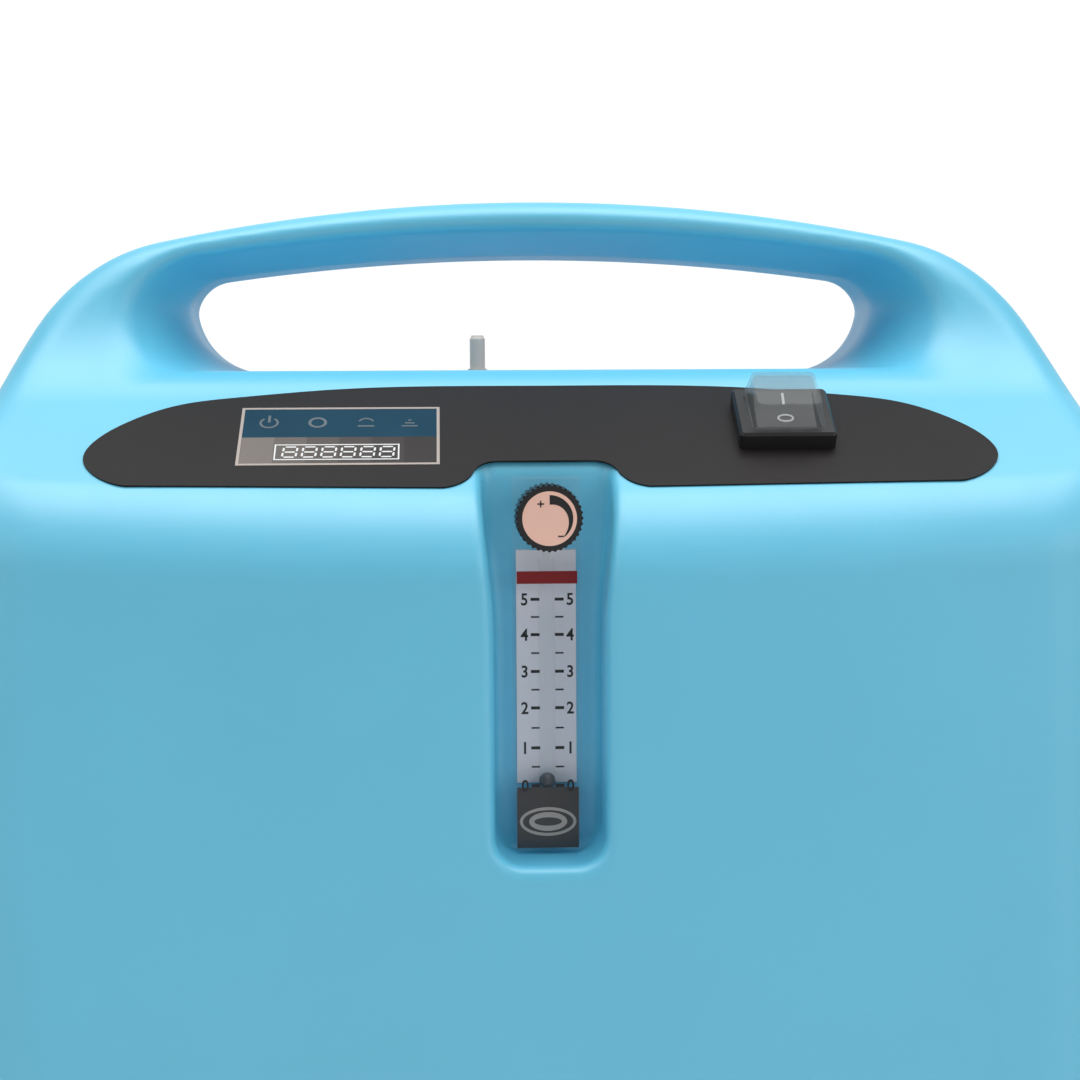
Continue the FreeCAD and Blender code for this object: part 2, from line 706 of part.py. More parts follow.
def solenoid_valves():
    z = shelf_z + 34
    return [join([rod(9, V(x, 15, z), V(x, 15, z + 30)), rod(4, V(x, 15, z + 30), V(x, 15, z + 36))])
            for x in (-39, -13, 13, 39)]


def bacterial_filter():
    return join([rod(4, V(0, -42, 480), V(0, -20, 480)), rod(20, V(0, -36, 480), V(0, -26, 480))])


def control_board():
    return box(-150, -40, -71.6, -70, shelf_z + 4, 366)


def board_components():
    sizes = [(-140, 24, 250, 30, 14), (-108, 20, 256, 20, 12), (-80, 30, 250, 34, 16),
             (-142, 18, 296, 44, 9), (-112, 34, 300, 28, 10), (-70, 16, 310, 40, 15)]
    return [box(x, x + w, -71.6 - t, -71.6, z, z + h) for x, w, z, h, t in sizes]


def motor_capacitor():
    return join([rod(22, V(100, -60, shelf_z + 4), V(100, -60, 316)), rod(19, V(100, -60, 316), V(100, -60, 320))])


def hose(points):
    r = hose_d / 2
    spots = [V(*p) for p in points]
    bits = [rod(r, a, b) for a, b in zip(spots, spots[1:])]
    bits += [Part.makeSphere(r, p) for p in spots[1:-1]]
    return join(bits)


def oxygen_hoses():
    return [hose([(60, 73, 327), (60, -40, 327), (60, -40, 400), (0, -40, 400), (0, -66, 400)]),
            hose([(0, -66, 480), (0, -42, 480)]),
            hose([(0, -20, 480), (0, 10, 480), (spigot_x, 10, 505), (spigot_x, 38, 505)])]


def air_hoses():
    runs = [[(75, 12, 206), (75, 30, 206), (46, 30, 206), (46, 62, 206), (46, 62, 110), (60, 62, 110)],
            [(150, 62, 190), (160, 62, 190), (160, 62, 226), (64, 15, 226), (64, 15, 255), (55, 15, 255)],
            [(-105, 45, 150), (-105, 38, 150), (-75, 38, 150), (-75, 17, 150)],
            [(-30, -5, 252), (-30, -97, 252), (-60, -95, 252), (-60, -95, 176)]]
    for side in (-1, 1):
        runs.append([(side * 55, 28, 262), (side * 135, 28, 262), (side * 135, 35, 262)])
        runs.append([(side * 102, 68, 462), (side * 86, 68, 462), (side * 86, 68, 285), (side * 70, 68, 285)])
    return [hose(run) for run in runs]


# ---- casters ----
def caster_plates():
    return [rod(19, V(x, y, 53.5), V(x, y, tray_bottom + 4)).cut(
        rod(stem_d / 2 + swivel_fit, V(x, y, 53), V(x, y, 61))) for x, y in caster_points]


def caster_fork(x, y):
    half = wheel_width / 2 + 0.6
    trail = caster_trail
    top = box(-half - 2.5, half + 2.5, -11, trail + 8, 50, 52.8)
    top = top.makeFillet(5, [e for e in top.Edges if e.BoundBox.ZLength > 2])
    parts = [top, rod(stem_d / 2, V(0, 0, 50), V(0, 0, 60.5))]
    for side in (-1, 1):
        x0 = min(side * half, side * (half + 2.5))
        parts.append(box(x0, x0 + 2.5, trail - 8, trail + 8, wheel_r, 52))
        parts.append(rod(8, V(x0, trail, wheel_r), V(x0 + 2.5, trail, wheel_r)))
    parts.append(rod(axle_d / 2, V(-half - 3.5, trail, wheel_r), V(half + 3.5, trail, wheel_r)))
    fork = join(parts)
    fork.translate(V(x, y, 0))
    return fork


def caster_wheel(x, y):
    half = wheel_width / 2
    centre = V(x, y + caster_trail, wheel_r)
    wheel = rod(wheel_r, centre - V(half, 0, 0), centre + V(half, 0, 0))
    wheel = wheel.makeFillet(4, [e for e in wheel.Edges if len(e.Vertexes) == 1 and e.Length > 100])
    for side in (-1, 1):
        dish = rod(15, centre + V(side * (half - 3), 0, 0), centre + V(side * (half + 1), 0, 0))
        wheel = wheel.cut(dish.cut(rod(7, centre - V(half + 1, 0, 0), centre + V(half + 1, 0, 0))))
    return wheel.cut(rod(axle_d / 2 + axle_fit, centre - V(half + 1, 0, 0), centre + V(half + 1, 0, 0)))


caster_names = ["front_left", "front_right", "rear_left", "rear_right"]
caster_points = [(-caster_x, -caster_y), (caster_x, -caster_y), (-caster_x, caster_y), (caster_x, caster_y)]


def all_nodes():
    front, rear = casing_shells()
    nodes = {"front_shell": front, "rear_shell": rear, "shell_screws": [screw(x, z) for x, z in screw_points]}
    makers = [base_tray, control_membrane, lcd_display, display_board, switch_base, switch_rocker, switch_cap,
              flowmeter_block, scale_plate, flow_float, flow_knob, knob_disc, needle_stem, flowmeter_fittings,
              humidifier_jar, humidifier_lid, humidifier_tube, humidifier_nut, oxygen_spigot, filter_cover,
              foam_prefilter, intake_filter, power_inlet, inlet_pins, circuit_breaker, breaker_button,
              exhaust_grille, compressor_housing, cylinder_heads, compressor_shaft, compressor_fans,
              compressor_mounts, fan_frame, fan_rotor, heat_exchanger, exhaust_muffler, mid_shelf, sieve_beds,
              product_tank, pressure_regulator, valve_manifold, solenoid_valves, bacterial_filter,
              control_board, board_components, motor_capacitor, oxygen_hoses, air_hoses, caster_plates]
    for maker in makers:
        nodes[maker.__name__] = maker()
    for name, (x, y) in zip(caster_names, caster_points):
        nodes["caster_fork_" + name] = caster_fork(x, y)
        nodes["caster_wheel_" + name] = caster_wheel(x, y)
    return nodes


def main():
    os.makedirs("parts", exist_ok=True)
    for name, shape in all_nodes().items():
        if isinstance(shape, list):
            shape = Part.makeCompound(shape)
        shape.exportStep("parts/" + name + ".step")


main()
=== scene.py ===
import json
import math

import bmesh
import bpy
import numpy as np
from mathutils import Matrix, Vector


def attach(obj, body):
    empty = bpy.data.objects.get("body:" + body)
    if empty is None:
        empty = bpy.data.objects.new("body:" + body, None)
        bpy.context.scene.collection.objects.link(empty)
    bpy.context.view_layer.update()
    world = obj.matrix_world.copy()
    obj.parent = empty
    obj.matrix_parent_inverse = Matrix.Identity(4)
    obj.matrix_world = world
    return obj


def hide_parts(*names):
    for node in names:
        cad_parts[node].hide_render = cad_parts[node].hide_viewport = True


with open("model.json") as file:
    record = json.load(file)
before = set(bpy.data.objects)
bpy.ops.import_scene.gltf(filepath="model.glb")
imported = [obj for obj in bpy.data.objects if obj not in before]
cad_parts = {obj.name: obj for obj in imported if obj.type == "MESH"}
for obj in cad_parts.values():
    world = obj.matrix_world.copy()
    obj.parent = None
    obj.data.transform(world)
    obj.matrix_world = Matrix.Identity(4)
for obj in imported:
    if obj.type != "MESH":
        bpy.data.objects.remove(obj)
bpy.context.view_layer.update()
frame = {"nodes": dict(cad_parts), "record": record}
NODES = frame["nodes"]

# ---------------------------------------------------------------- the casing as one smooth field, millimetres
SLOPE = math.radians(33.0)
SIN = math.sin(SLOPE)
COS = math.cos(SLOPE)
TAN = math.tan(SLOPE)
FRONT = -125.0
REAR = 125.0
HALF_WIDTH = 181.5
CROWN = 589.8
WALL = 4.6
CHEEK_EXTRA = 4.0
PARTING = -10.0
TRAY_TOP = 66.0
LEDGE = 488.5
ARCH_FRONT = -42.0
ARCH_REAR = 28.0
CROWN_RADIUS = 600.0
SHOULDER_RADIUS = 60.0
COVE_RADIUS = 62.0
BOW_CURVE = 3600.0
BOW_LIMIT = 7.0
BOW_START = 245.0
BOW_END = 488.0
GRIP_HALF = 117.0
GRIP_FLOOR = 534.0
GRIP_TOP = 573.5
RECESS_HALF = 16.5
RECESS_FLOOR = 386.4
RECESS_BACK = -99.0
POCKET_HALF = 50.0
POCKET_FRONT = 44.0
POCKET_FLOOR = 345.0

# ---------------------------------------------------------------- places shared by holes and printed marks
LCD_CENTRE = (-62.75, -87.25)
SWITCH_CENTRE = (74.8, -83.6)
VENT_X = 105.0
VENT_Z = 150.0
VENT_HALF = 50.4
INLET_Z = 108.0
BREAKER_Z = 152.0
SPIGOT = (-28.0, 505.0)
SCREWS = ((-150.0, 80.0), (150.0, 80.0), (-120.0, 505.0), (120.0, 505.0))
METER_FACE = -106.0
KNOB_FACE = -124.5
KNOB_Z = 489.7


def panel_z(y):
    return LEDGE + (y - FRONT) * TAN


def round_max(a, b, r):
    """Larger of two fields, with their edge rounded to radius r."""
    u = np.maximum(r + a, 0.0)
    v = np.maximum(r + b, 0.0)
    return np.minimum(-r, np.maximum(a, b)) + np.sqrt(u * u + v * v)


def round_min(a, b, r):
    return -round_max(-a, -b, r)


def outline(x, z):
    """Distance to the front outline: vertical sides, shoulder arcs and the long crown arc."""
    a1 = math.radians(78.0)
    a2 = math.radians(30.0)
    crown_z = CROWN - CROWN_RADIUS
    inner = CROWN_RADIUS - SHOULDER_RADIUS
    sx = inner * math.cos(a1)
    sz = crown_z + inner * math.sin(a1)
    ex = sx + SHOULDER_RADIUS * math.cos(a2)
    ez = sz + SHOULDER_RADIUS * math.sin(a2)
    side_r = (HALF_WIDTH - ex) / (1 - math.cos(a2))
    mx = ex - side_r * math.cos(a2)
    mz = ez - side_r * math.sin(a2)
    ax = np.abs(x)
    crown = np.hypot(ax, z - crown_z) - CROWN_RADIUS
    shoulder = np.hypot(ax - sx, z - sz) - SHOULDER_RADIUS
    side = np.hypot(ax - mx, z - mz) - side_r
    at_crown = (np.arctan2(z - crown_z, ax) > a1) | (ax < sx)
    at_side = (ax > sx) & (np.arctan2(z - sz, ax - sx) < a2)
    d = np.where(at_side, side, shoulder)
    d = np.where(at_crown, crown, d)
    return np.where(z < mz, ax - HALF_WIDTH, d)


def slope_and_arch(y, z):
    """Slanted panel sweeping up through a wide cove into the front of the handle arch."""
    cy = ARCH_FRONT - COVE_RADIUS
    cz = panel_z(cy) + COVE_RADIUS / COS
    plane = (z - panel_z(y)) * COS
    ry = y - cy
    rz = z - cz
    in_cove = (rz < 0) & (ry * COS + rz * SIN > 0)
    d = np.where(in_cove, COVE_RADIUS - np.hypot(ry, rz), plane)
    return np.where((rz >= 0) & (y > cy), ARCH_FRONT - y, d)


def step(a, b, t):
    """Smooth rise from 0 at t = a to 1 at t = b."""
    s = np.clip((t - a) / (b - a), 0.0, 1.0)
    return s * s * (3 - 2 * s)


def body_field(x, y, z):
    """Distance to the outside of the closed casing: body, handle opening, meter recess and rear pocket."""
    bow = np.minimum(x * x / BOW_CURVE, BOW_LIMIT) * step(BOW_START, BOW_END, z)
    face = FRONT - y + bow
    front = round_max(face, slope_and_arch(y, z), 14.0)
    corner = 33.0 - 23.0 * step(-121.0, -88.0, y)
    d = round_max(front, outline(x, z), corner)
    deck = (z - (GRIP_FLOOR - (y - ARCH_REAR) * 0.0825)) * 0.9966
    back = round_min(y - ARCH_REAR, deck, 14.0)
    back = round_max(back, y - REAR, 9.0)
    d = round_max(d, back, 9.0)
    side = np.abs(x) - HALF_WIDTH
    d = np.maximum(d, round_max(side, y - REAR, 24.0))

    flare = np.clip((-12.0 - y) / 33.0, 0.0, 1.5)
    rear_flare = np.clip((y - 8.0) / 24.0, 0.0, 1.0)
    half = GRIP_HALF + 17.0 * flare ** 1.5 + 5.0 * rear_flare ** 2
    top = GRIP_TOP - x * x / 1500.0 + 8.5 * flare + 2.5 * rear_flare ** 2
    grip = round_max(np.abs(x) - half, z - top, 11.0 + 8.0 * flare)
    grip = round_max(grip, GRIP_FLOOR - z, 24.0)
    d = round_max(d, -grip, 5.0)

    width = RECESS_HALF + 3.0 * step(455.0, 497.0, z)
    recess = round_max(np.abs(x) - width, RECESS_FLOOR - z, 9.0)
    recess = round_max(recess, y - RECESS_BACK, 3.0)
    d = round_max(d, -recess, 3.4)

    pocket = round_max(np.abs(x) - POCKET_HALF, POCKET_FRONT - y, 14.0)
    pocket = round_max(pocket, POCKET_FLOOR - z, 4.0)
    return round_max(d, -pocket, 2.5)


def shell_field(p):
    """The casing wall, open below, thicker at the cheeks where its rim turns sharply."""
    x, y, z = p.T
    d = body_field(x, y, z)
    cheek = step(95.0, 112.0, np.abs(x)) * step(520.0, 532.0, z) * step(10.0, 25.0, -y)
    return np.maximum(np.maximum(d, -(d + WALL + CHEEK_EXTRA * cheek)), 60.0 - z)


def spaced(stops):
    """Grid lines from (start, end, spacing) runs."""
    lines = []
    for a, b, s in stops:
        lines.append(np.linspace(a, b, max(1, int(round((b - a) / s))) + 1)[:-1])
    return np.concatenate(lines + [np.array([stops[-1][1]])])


def surface(field, xs, ys, zs):
    """Dual surface of field = 0 on a rectilinear grid, pulled onto the true surface."""
    gx, gy, gz = np.meshgrid(xs, ys, zs, indexing="ij")
    pts = np.stack([gx.ravel(), gy.ravel(), gz.ravel()], 1)
    value = field(pts).reshape(gx.shape)
    inside = value < 0
    nx, ny, nz = (n - 1 for n in value.shape)
    total = np.zeros((nx, ny, nz, 3), np.float32)
    count = np.zeros((nx, ny, nz), np.float32)
    lines = (xs, ys, zs)
    for axis in range(3):
        lo = [slice(None)] * 3
        hi = [slice(None)] * 3
        lo[axis] = slice(0, -1)
        hi[axis] = slice(1, None)
        va = value[tuple(lo)]
        vb = value[tuple(hi)]
        cross = (va < 0) != (vb < 0)
        with np.errstate(divide="ignore", invalid="ignore"):
            t = np.where(cross, va / (va - vb), 0.0)
        where = []
        for k in range(3):
            shape = [1, 1, 1]
            shape[k] = -1
            line = lines[k]
            if k == axis:
                where.append(line[:-1].reshape(shape) + t * np.diff(line).reshape(shape))
            else:
                where.append(np.broadcast_to(line.reshape(shape), cross.shape))
        others = [k for k in range(3) if k != axis]
        for da in (0, 1):
            for db in (0, 1):
                cut = [slice(None)] * 3
                for k, d in zip(others, (da, db)):
                    cut[k] = slice(d, cross.shape[k] - 1 + d)
                c = cross[tuple(cut)]
                count += c
                for k in range(3):
                    total[..., k] += np.where(c, where[k][tuple(cut)], 0)
    used = count > 0
    index = np.full(used.shape, -1, np.int64)
    index[used] = np.arange(used.sum())
    verts = (total[used] / count[used][:, None]).astype(float)
    quads = []
    for axis in range(3):
        o1, o2 = [(1, 2), (2, 0), (0, 1)][axis]
        lo = [slice(None)] * 3
        hi = [slice(None)] * 3
        lo[axis] = slice(0, -1)
        hi[axis] = slice(1, None)
        a = inside[tuple(lo)]
        b = inside[tuple(hi)]
        cut = [slice(None)] * 3
        cut[o1] = slice(1, -1)
        cut[o2] = slice(1, -1)
        a = a[tuple(cut)]
        b = b[tuple(cut)]
        for flip, hit in ((False, a & ~b), (True, ~a & b)):
            at = list(np.nonzero(hit))
            corners = []
            for d1, d2 in ((0, 0), (1, 0), (1, 1), (0, 1)):
                c = [v.copy() for v in at]
                c[o1] = at[o1] + d1
                c[o2] = at[o2] + d2
                corners.append(index[c[0], c[1], c[2]])
            if flip:
                corners.reverse()
            quads.append(np.stack(corners, 1))
    quads = np.concatenate(quads)
    for _ in range(4):
        f = field(verts)
        grad = np.zeros_like(verts)
        for k in range(3):
            shift = np.zeros(3)
            shift[k] = 0.05
            grad[:, k] = (field(verts + shift) - field(verts - shift)) / 0.1
        size = np.maximum((grad ** 2).sum(1), 0.25)
        move = -(f / size)[:, None] * grad
        length = np.linalg.norm(move, axis=1)
        verts += move * np.minimum(1.0, 1.0 / np.maximum(length, 1e-9))[:, None]
    return verts, quads


def new_object(name, verts, faces, smooth=True):
    mesh = bpy.data.meshes.new(name)
    mesh.from_pydata([tuple(v) for v in verts], [], [tuple(int(i) for i in f) for f in faces])
    mesh.validate()
    mesh.update()
    if smooth:
        mesh.shade_smooth()
    obj = bpy.data.objects.new(name, mesh)
    bpy.context.scene.collection.objects.link(obj)
    return obj


def punch(bm, centre, planes, reach):
    """Cut a clean-edged hole bounded by outward planes (point, normal) out of the faces near centre."""
    centre = Vector(centre) / 1000.0
    planes = [(Vector(co) / 1000.0, Vector(no).normalized()) for co, no in planes]
    for co, no in planes:
        near = [f for f in bm.faces if (f.calc_center_median() - centre).length < reach / 1000.0]
        edges = {e for f in near for e in f.edges}
        verts = {v for f in near for v in f.verts}
        bmesh.ops.bisect_plane(bm, geom=near + list(edges) + list(verts), plane_co=co, plane_no=no, dist=1e-7)
    gone = []
    for f in bm.faces:
        c = f.calc_center_median()
        if (c - centre).length < reach / 1000.0 and all((c - co).dot(no) < 0 for co, no in planes):
            gone.append(f)
    bmesh.ops.delete(bm, geom=gone, context="FACES")


def straight_hole(bm, x, z, half_x, half_z, reach):
    """Rectangular hole through the rear wall."""
    y = REAR
    punch(bm, (x, y, z), [((x - half_x, y, z), (-1, 0, 0)), ((x + half_x, y, z), (1, 0, 0)),
                          ((x, y, z - half_z), (0, 0, -1)), ((x, y, z + half_z), (0, 0, 1))], reach)


def round_hole(bm, x, y, z, radius, reach):
    """Round hole along Y."""
    planes = []
    for i in range(16):
        a = math.pi * (i + 0.5) / 8
        no = (math.cos(a), 0, math.sin(a))
        planes.append(((x + radius * no[0], y, z + radius * no[2]), no))
    punch(bm, (x, y, z), planes, reach)


def panel_hole(bm, x, y, width, length):
    """Rectangular hole square to the slanted panel."""
    z = panel_z(y)
    up = Vector((0, COS, SIN))
    mid = Vector((x, y, z))
    side = Vector((width / 2, 0, 0))
    rise = up * (length / 2)
    planes = [(mid - side, (-1, 0, 0)), (mid + side, (1, 0, 0)), (mid - rise, -up), (mid + rise, up)]
    punch(bm, mid, planes, width * 0.7)


def casing_halves():
    """Front and rear skin, cut from one surface at the parting line and at the tray."""
    fine = 2.3
    xs = spaced([(-184.0, -24.0, fine), (-24.0, 24.0, 1.5), (24.0, 184.0, fine)])
    ys = spaced([(-127.5, -94.0, 1.6), (-94.0, 44.0, fine), (44.0, 127.5, 3.3)])
    zs = spaced([(50.0, 340.0, 11.0), (340.0, 392.0, 2.2), (392.0, 480.0, 2.6), (480.0, 593.0, 2.0)])
    verts, quads = surface(shell_field, xs, ys, zs)
    whole = new_object("casing_work", verts / 1000.0, quads)
    bm = bmesh.new()
    bm.from_mesh(whole.data)
    bmesh.ops.recalc_face_normals(bm, faces=bm.faces[:])
    panel_hole(bm, *LCD_CENTRE, 58.5, 28.4)
    panel_hole(bm, *SWITCH_CENTRE, 27.0, 23.0)
    for x in (-VENT_X, VENT_X):
        straight_hole(bm, x, VENT_Z, VENT_HALF, VENT_HALF, 90.0)
    straight_hole(bm, 0.0, INLET_Z, 15.2, 12.2, 30.0)
    round_hole(bm, 0.0, REAR, BREAKER_Z, 8.2, 20.0)
    round_hole(bm, SPIGOT[0], POCKET_FRONT, SPIGOT[1], 4.1, 12.0)
    for x, z in SCREWS:
        round_hole(bm, x, REAR, z, 4.3, 14.0)
    bm.to_mesh(whole.data)
    bm.free()
    halves = []
    for name, side in (("skin_front", -1), ("skin_rear", 1)):
        bm = bmesh.new()
        bm.from_mesh(whole.data)
        seam = (PARTING + side * 0.12) / 1000.0
        for co, no in (((0, seam, 0), (0, -side, 0)), ((0, 0, TRAY_TOP / 1000.0), (0, 0, -1))):
            every = bm.verts[:] + bm.edges[:] + bm.faces[:]
            bmesh.ops.bisect_plane(bm, geom=every, plane_co=co, plane_no=no, clear_outer=True, dist=1e-7)
        mesh = bpy.data.meshes.new(name)
        bm.to_mesh(mesh)
        bm.free()
        obj = bpy.data.objects.new(name, mesh)
        bpy.context.scene.collection.objects.link(obj)
        halves.append(obj)
    bpy.data.objects.remove(whole)
    return halves


# ---------------------------------------------------------------- small printed and moulded details
def on_panel(u, v, w, x0=0.0, y0=-101.0):
    return (x0 + u, y0 + v * COS - w * SIN, panel_z(y0) + v * SIN + w * COS)


def prints(name, outlines, place, w0, w1):
    """Thin raised shapes: each outline is a closed list of (u, v), place turns (u, v, w) into millimetres."""
    bm = bmesh.new()
    for outline_2d in outlines:
        low = [bm.verts.new(Vector(place(u, v, w0)) / 1000.0) for u, v in outline_2d]
        top = [bm.verts.new(Vector(place(u, v, w1)) / 1000.0) for u, v in outline_2d]
        bm.faces.new(top)
        bm.faces.new(list(reversed(low)))
        n = len(low)
        for i in range(n):
            bm.faces.new((low[i], low[(i + 1) % n], top[(i + 1) % n], top[i]))
    bmesh.ops.recalc_face_normals(bm, faces=bm.faces[:])
    mesh = bpy.data.meshes.new(name)
    bm.to_mesh(mesh)
    bm.free()
    obj = bpy.data.objects.new(name, mesh)
    bpy.context.scene.collection.objects.link(obj)
    return obj


def rect(u0, u1, v0, v1):
    """Outline of a rectangle."""
    return [(u0, v0), (u1, v0), (u1, v1), (u0, v1)]


def ring_bits(cu, cv, ru, rv, width, a0=0.0, a1=360.0, count=32):
    """A ring or arc as short quads."""
    bits = []
    for i in range(count):
        t0 = math.radians(a0 + (a1 - a0) * i / count)
        t1 = math.radians(a0 + (a1 - a0) * (i + 1) / count)
        quad = []
        for t, k in ((t0, 0), (t1, 0), (t1, 1), (t0, 1)):
            quad.append((cu + (ru - k * width) * math.cos(t), cv + (rv - k * width) * math.sin(t)))
        bits.append(quad)
    return bits


def frame_bits(u0, u1, v0, v1, width):
    return [rect(u0, u1, v0, v0 + width), rect(u0, u1, v1 - width, v1),
            rect(u0, u0 + width, v0 + width, v1 - width), rect(u1 - width, u1, v0 + width, v1 - width)]


def seven_segments(u, v, wide, tall, thick, lean=0.0):
    """All seven segments of one digit, lower-left corner at (u, v)."""
    bits = []
    half = tall / 2
    g = thick * 0.6

    def bar(a0, b0, a1, b1):
        n = math.hypot(a1 - a0, b1 - b0)
        du = (a1 - a0) / n
        dv = (b1 - b0) / n
        t = thick / 2
        pts = [(a0, b0),
               (a0 + du * t - dv * t, b0 + dv * t + du * t),
               (a1 - du * t - dv * t, b1 - dv * t + du * t),
               (a1, b1),
               (a1 - du * t + dv * t, b1 - dv * t - du * t),
               (a0 + du * t + dv * t, b0 + dv * t - du * t)]
        bits.append([(u + p + lean * q, v + q) for p, q in reversed(pts)])

    for level in (0.0, half, tall):
        bar(g, level, wide - g, level)
    for across in (0.0, wide):
        bar(across, g, across, half - g)
        bar(across, half + g, across, tall - g)
    return bits


def numerals(name, items, place, height, w0, w1):
    """Plain numerals as solid shapes; items are (text, u, v) with (u, v) the centre."""
    bm = bmesh.new()
    for text, u, v in items:
        curve = bpy.data.curves.new("digit", "FONT")
        curve.body = text
        curve.size = 1.0
        curve.align_x = "CENTER"
        curve.resolution_u = 4
        curve.offset = 0.02
        curve.extrude = 0.5
        obj = bpy.data.objects.new("digit", curve)
        bpy.context.scene.collection.objects.link(obj)
        bpy.context.view_layer.update()
        made = bpy.data.meshes.new_from_object(obj.evaluated_get(bpy.context.evaluated_depsgraph_get()))
        xs = [p.co.x for p in made.vertices]
        ys = [p.co.y for p in made.vertices]
        k = height / (max(ys) - min(ys))
        cx = (max(xs) + min(xs)) / 2
        cy = (max(ys) + min(ys)) / 2
        for p in made.vertices:
            w = w1 if p.co.z > 0 else w0
            p.co = Vector(place(u + (p.co.x - cx) * k * 0.9, v + (p.co.y - cy) * k, w)) / 1000.0
        bm.from_mesh(made)
        bpy.data.objects.remove(obj)
        bpy.data.meshes.remove(made)
        bpy.data.curves.remove(curve)
    bmesh.ops.remove_doubles(bm, verts=bm.verts[:], dist=1e-7)
    bmesh.ops.recalc_face_normals(bm, faces=bm.faces[:])
    mesh = bpy.data.meshes.new(name)
    bm.to_mesh(mesh)
    bm.free()
    obj = bpy.data.objects.new(name, mesh)
    bpy.context.scene.collection.objects.link(obj)
    return obj


# ---------------------------------------------------------------- materials
def noise_node(nodes, links, coords, scale, detail=3.0):
    tex = nodes.new("ShaderNodeTexNoise")
    tex.inputs["Scale"].default_value = scale
    tex.inputs["Detail"].default_value = detail
    links.new(coords, tex.inputs["Vector"])
    return tex.outputs["Fac"]


def material(name, color, rough, metallic=0.0, vary=0.05, grain=900.0, bump=0.05, ior=1.5,
             spread=0.06, alpha=1.0):
    """Plain surface whose colour, roughness and fine relief all vary with noise in object space."""
    mat = bpy.data.materials.new(name)
    mat.use_nodes = True
    nodes = mat.node_tree.nodes
    links = mat.node_tree.links
    shader = nodes["Principled BSDF"]
    coords = nodes.new("ShaderNodeTexCoord").outputs["Object"]
    ramp = nodes.new("ShaderNodeValToRGB")
    low = [max(0.0, c * (1 - vary)) for c in color]
    high = [min(1.0, c * (1 + vary)) for c in color]
    ramp.color_ramp.elements[0].position = 0.3
    ramp.color_ramp.elements[0].color = (*low, 1)
    ramp.color_ramp.elements[1].position = 0.7
    ramp.color_ramp.elements[1].color = (*high, 1)
    links.new(noise_node(nodes, links, coords, 14.0), ramp.inputs["Fac"])
    links.new(ramp.outputs["Color"], shader.inputs["Base Color"])
    span = nodes.new("ShaderNodeMapRange")
    span.inputs["To Min"].default_value = max(0.0, rough - spread)
    span.inputs["To Max"].default_value = min(1.0, rough + spread)
    links.new(noise_node(nodes, links, coords, 60.0), span.inputs["Value"])
    links.new(span.outputs["Result"], shader.inputs["Roughness"])
    relief = nodes.new("ShaderNodeBump")
    relief.inputs["Strength"].default_value = bump
    relief.inputs["Distance"].default_value = 0.0002
    links.new(noise_node(nodes, links, coords, grain, 2.0), relief.inputs["Height"])
    links.new(relief.outputs["Normal"], shader.inputs["Normal"])
    shader.inputs["Metallic"].default_value = metallic
    shader.inputs["IOR"].default_value = ior
    shader.inputs["Alpha"].default_value = alpha
    return mat


SLOT_MATERIALS = {
    "casing": material("casing_blue", (0.12, 0.56, 0.79), 0.44, vary=0.02, grain=1400.0, bump=0.03, ior=1.85),
    "tray": material("tray_grey", (0.03, 0.033, 0.036), 0.55, grain=1500.0, bump=0.12),
    "membrane": material("membrane_black", (0.016, 0.014, 0.014), 0.40, vary=0.12, grain=2600.0, bump=0.06,
                         ior=1.28),
    "lcd": material("lcd_window", (0.012, 0.055, 0.095), 0.12, vary=0.2, bump=0.02, ior=1.3),
    "board": material("solder_mask", (0.01, 0.12, 0.05), 0.4, vary=0.15),
    "chips": material("epoxy_black", (0.015, 0.015, 0.016), 0.5),
    "black_plastic": material("black_plastic", (0.012, 0.012, 0.013), 0.38, vary=0.1, grain=1500.0, bump=0.08),
    "clear_cap": material("clear_cap", (0.35, 0.37, 0.38), 0.10, ior=1.35, vary=0.02, alpha=0.20),
    "acrylic": material("acrylic", (0.55, 0.66, 0.72), 0.05, ior=1.49, vary=0.02, spread=0.02, bump=0.01,
                        alpha=0.05),
    "label": material("scale_label", (0.98, 0.86, 0.87), 0.5, vary=0.04),
    "ball": material("float_ball", (0.035, 0.028, 0.025), 0.2, spread=0.04),
    "copper_disc": material("pink_metal", (0.96, 0.60, 0.49), 0.36, metallic=0.3, vary=0.04, grain=3500.0,
                            bump=0.25),
    "steel": material("steel", (0.55, 0.55, 0.56), 0.3, metallic=1.0),
    "brass": material("brass", (0.70, 0.50, 0.20), 0.3, metallic=1.0),
    "jar": material("jar_clear", (0.80, 0.88, 0.92), 0.08, ior=1.45, vary=0.02, spread=0.03, alpha=0.28),
    "lid": material("lid_grey", (0.68, 0.60, 0.55), 0.4, vary=0.06),
    "foam": material("foam_black", (0.02, 0.02, 0.022), 0.95, vary=0.2, grain=600.0, bump=0.9),
    "paper_filter": material("filter_white", (0.68, 0.68, 0.66), 0.6),
    "alu": material("aluminium", (0.62, 0.63, 0.65), 0.36, metallic=1.0),
    "cast": material("die_cast", (0.34, 0.35, 0.36), 0.5, metallic=0.8, grain=700.0, bump=0.25),
    "rubber": material("rubber", (0.016, 0.016, 0.017), 0.72, vary=0.12, grain=900.0, bump=0.15),
    "hose": material("silicone", (0.60, 0.62, 0.63), 0.45),
    "grey_plastic": material("grey_plastic", (0.11, 0.115, 0.12), 0.5, grain=1500.0, bump=0.12),
    "red_plastic": material("red_plastic", (0.35, 0.01, 0.01), 0.4),
    "zinc": material("zinc", (0.58, 0.60, 0.62), 0.32, metallic=1.0),
}
PRINT_SILVER = material("print_silver", (0.42, 0.37, 0.34), 0.35, metallic=0.3)
PRINT_WHITE = material("print_white", (0.75, 0.76, 0.76), 0.5)
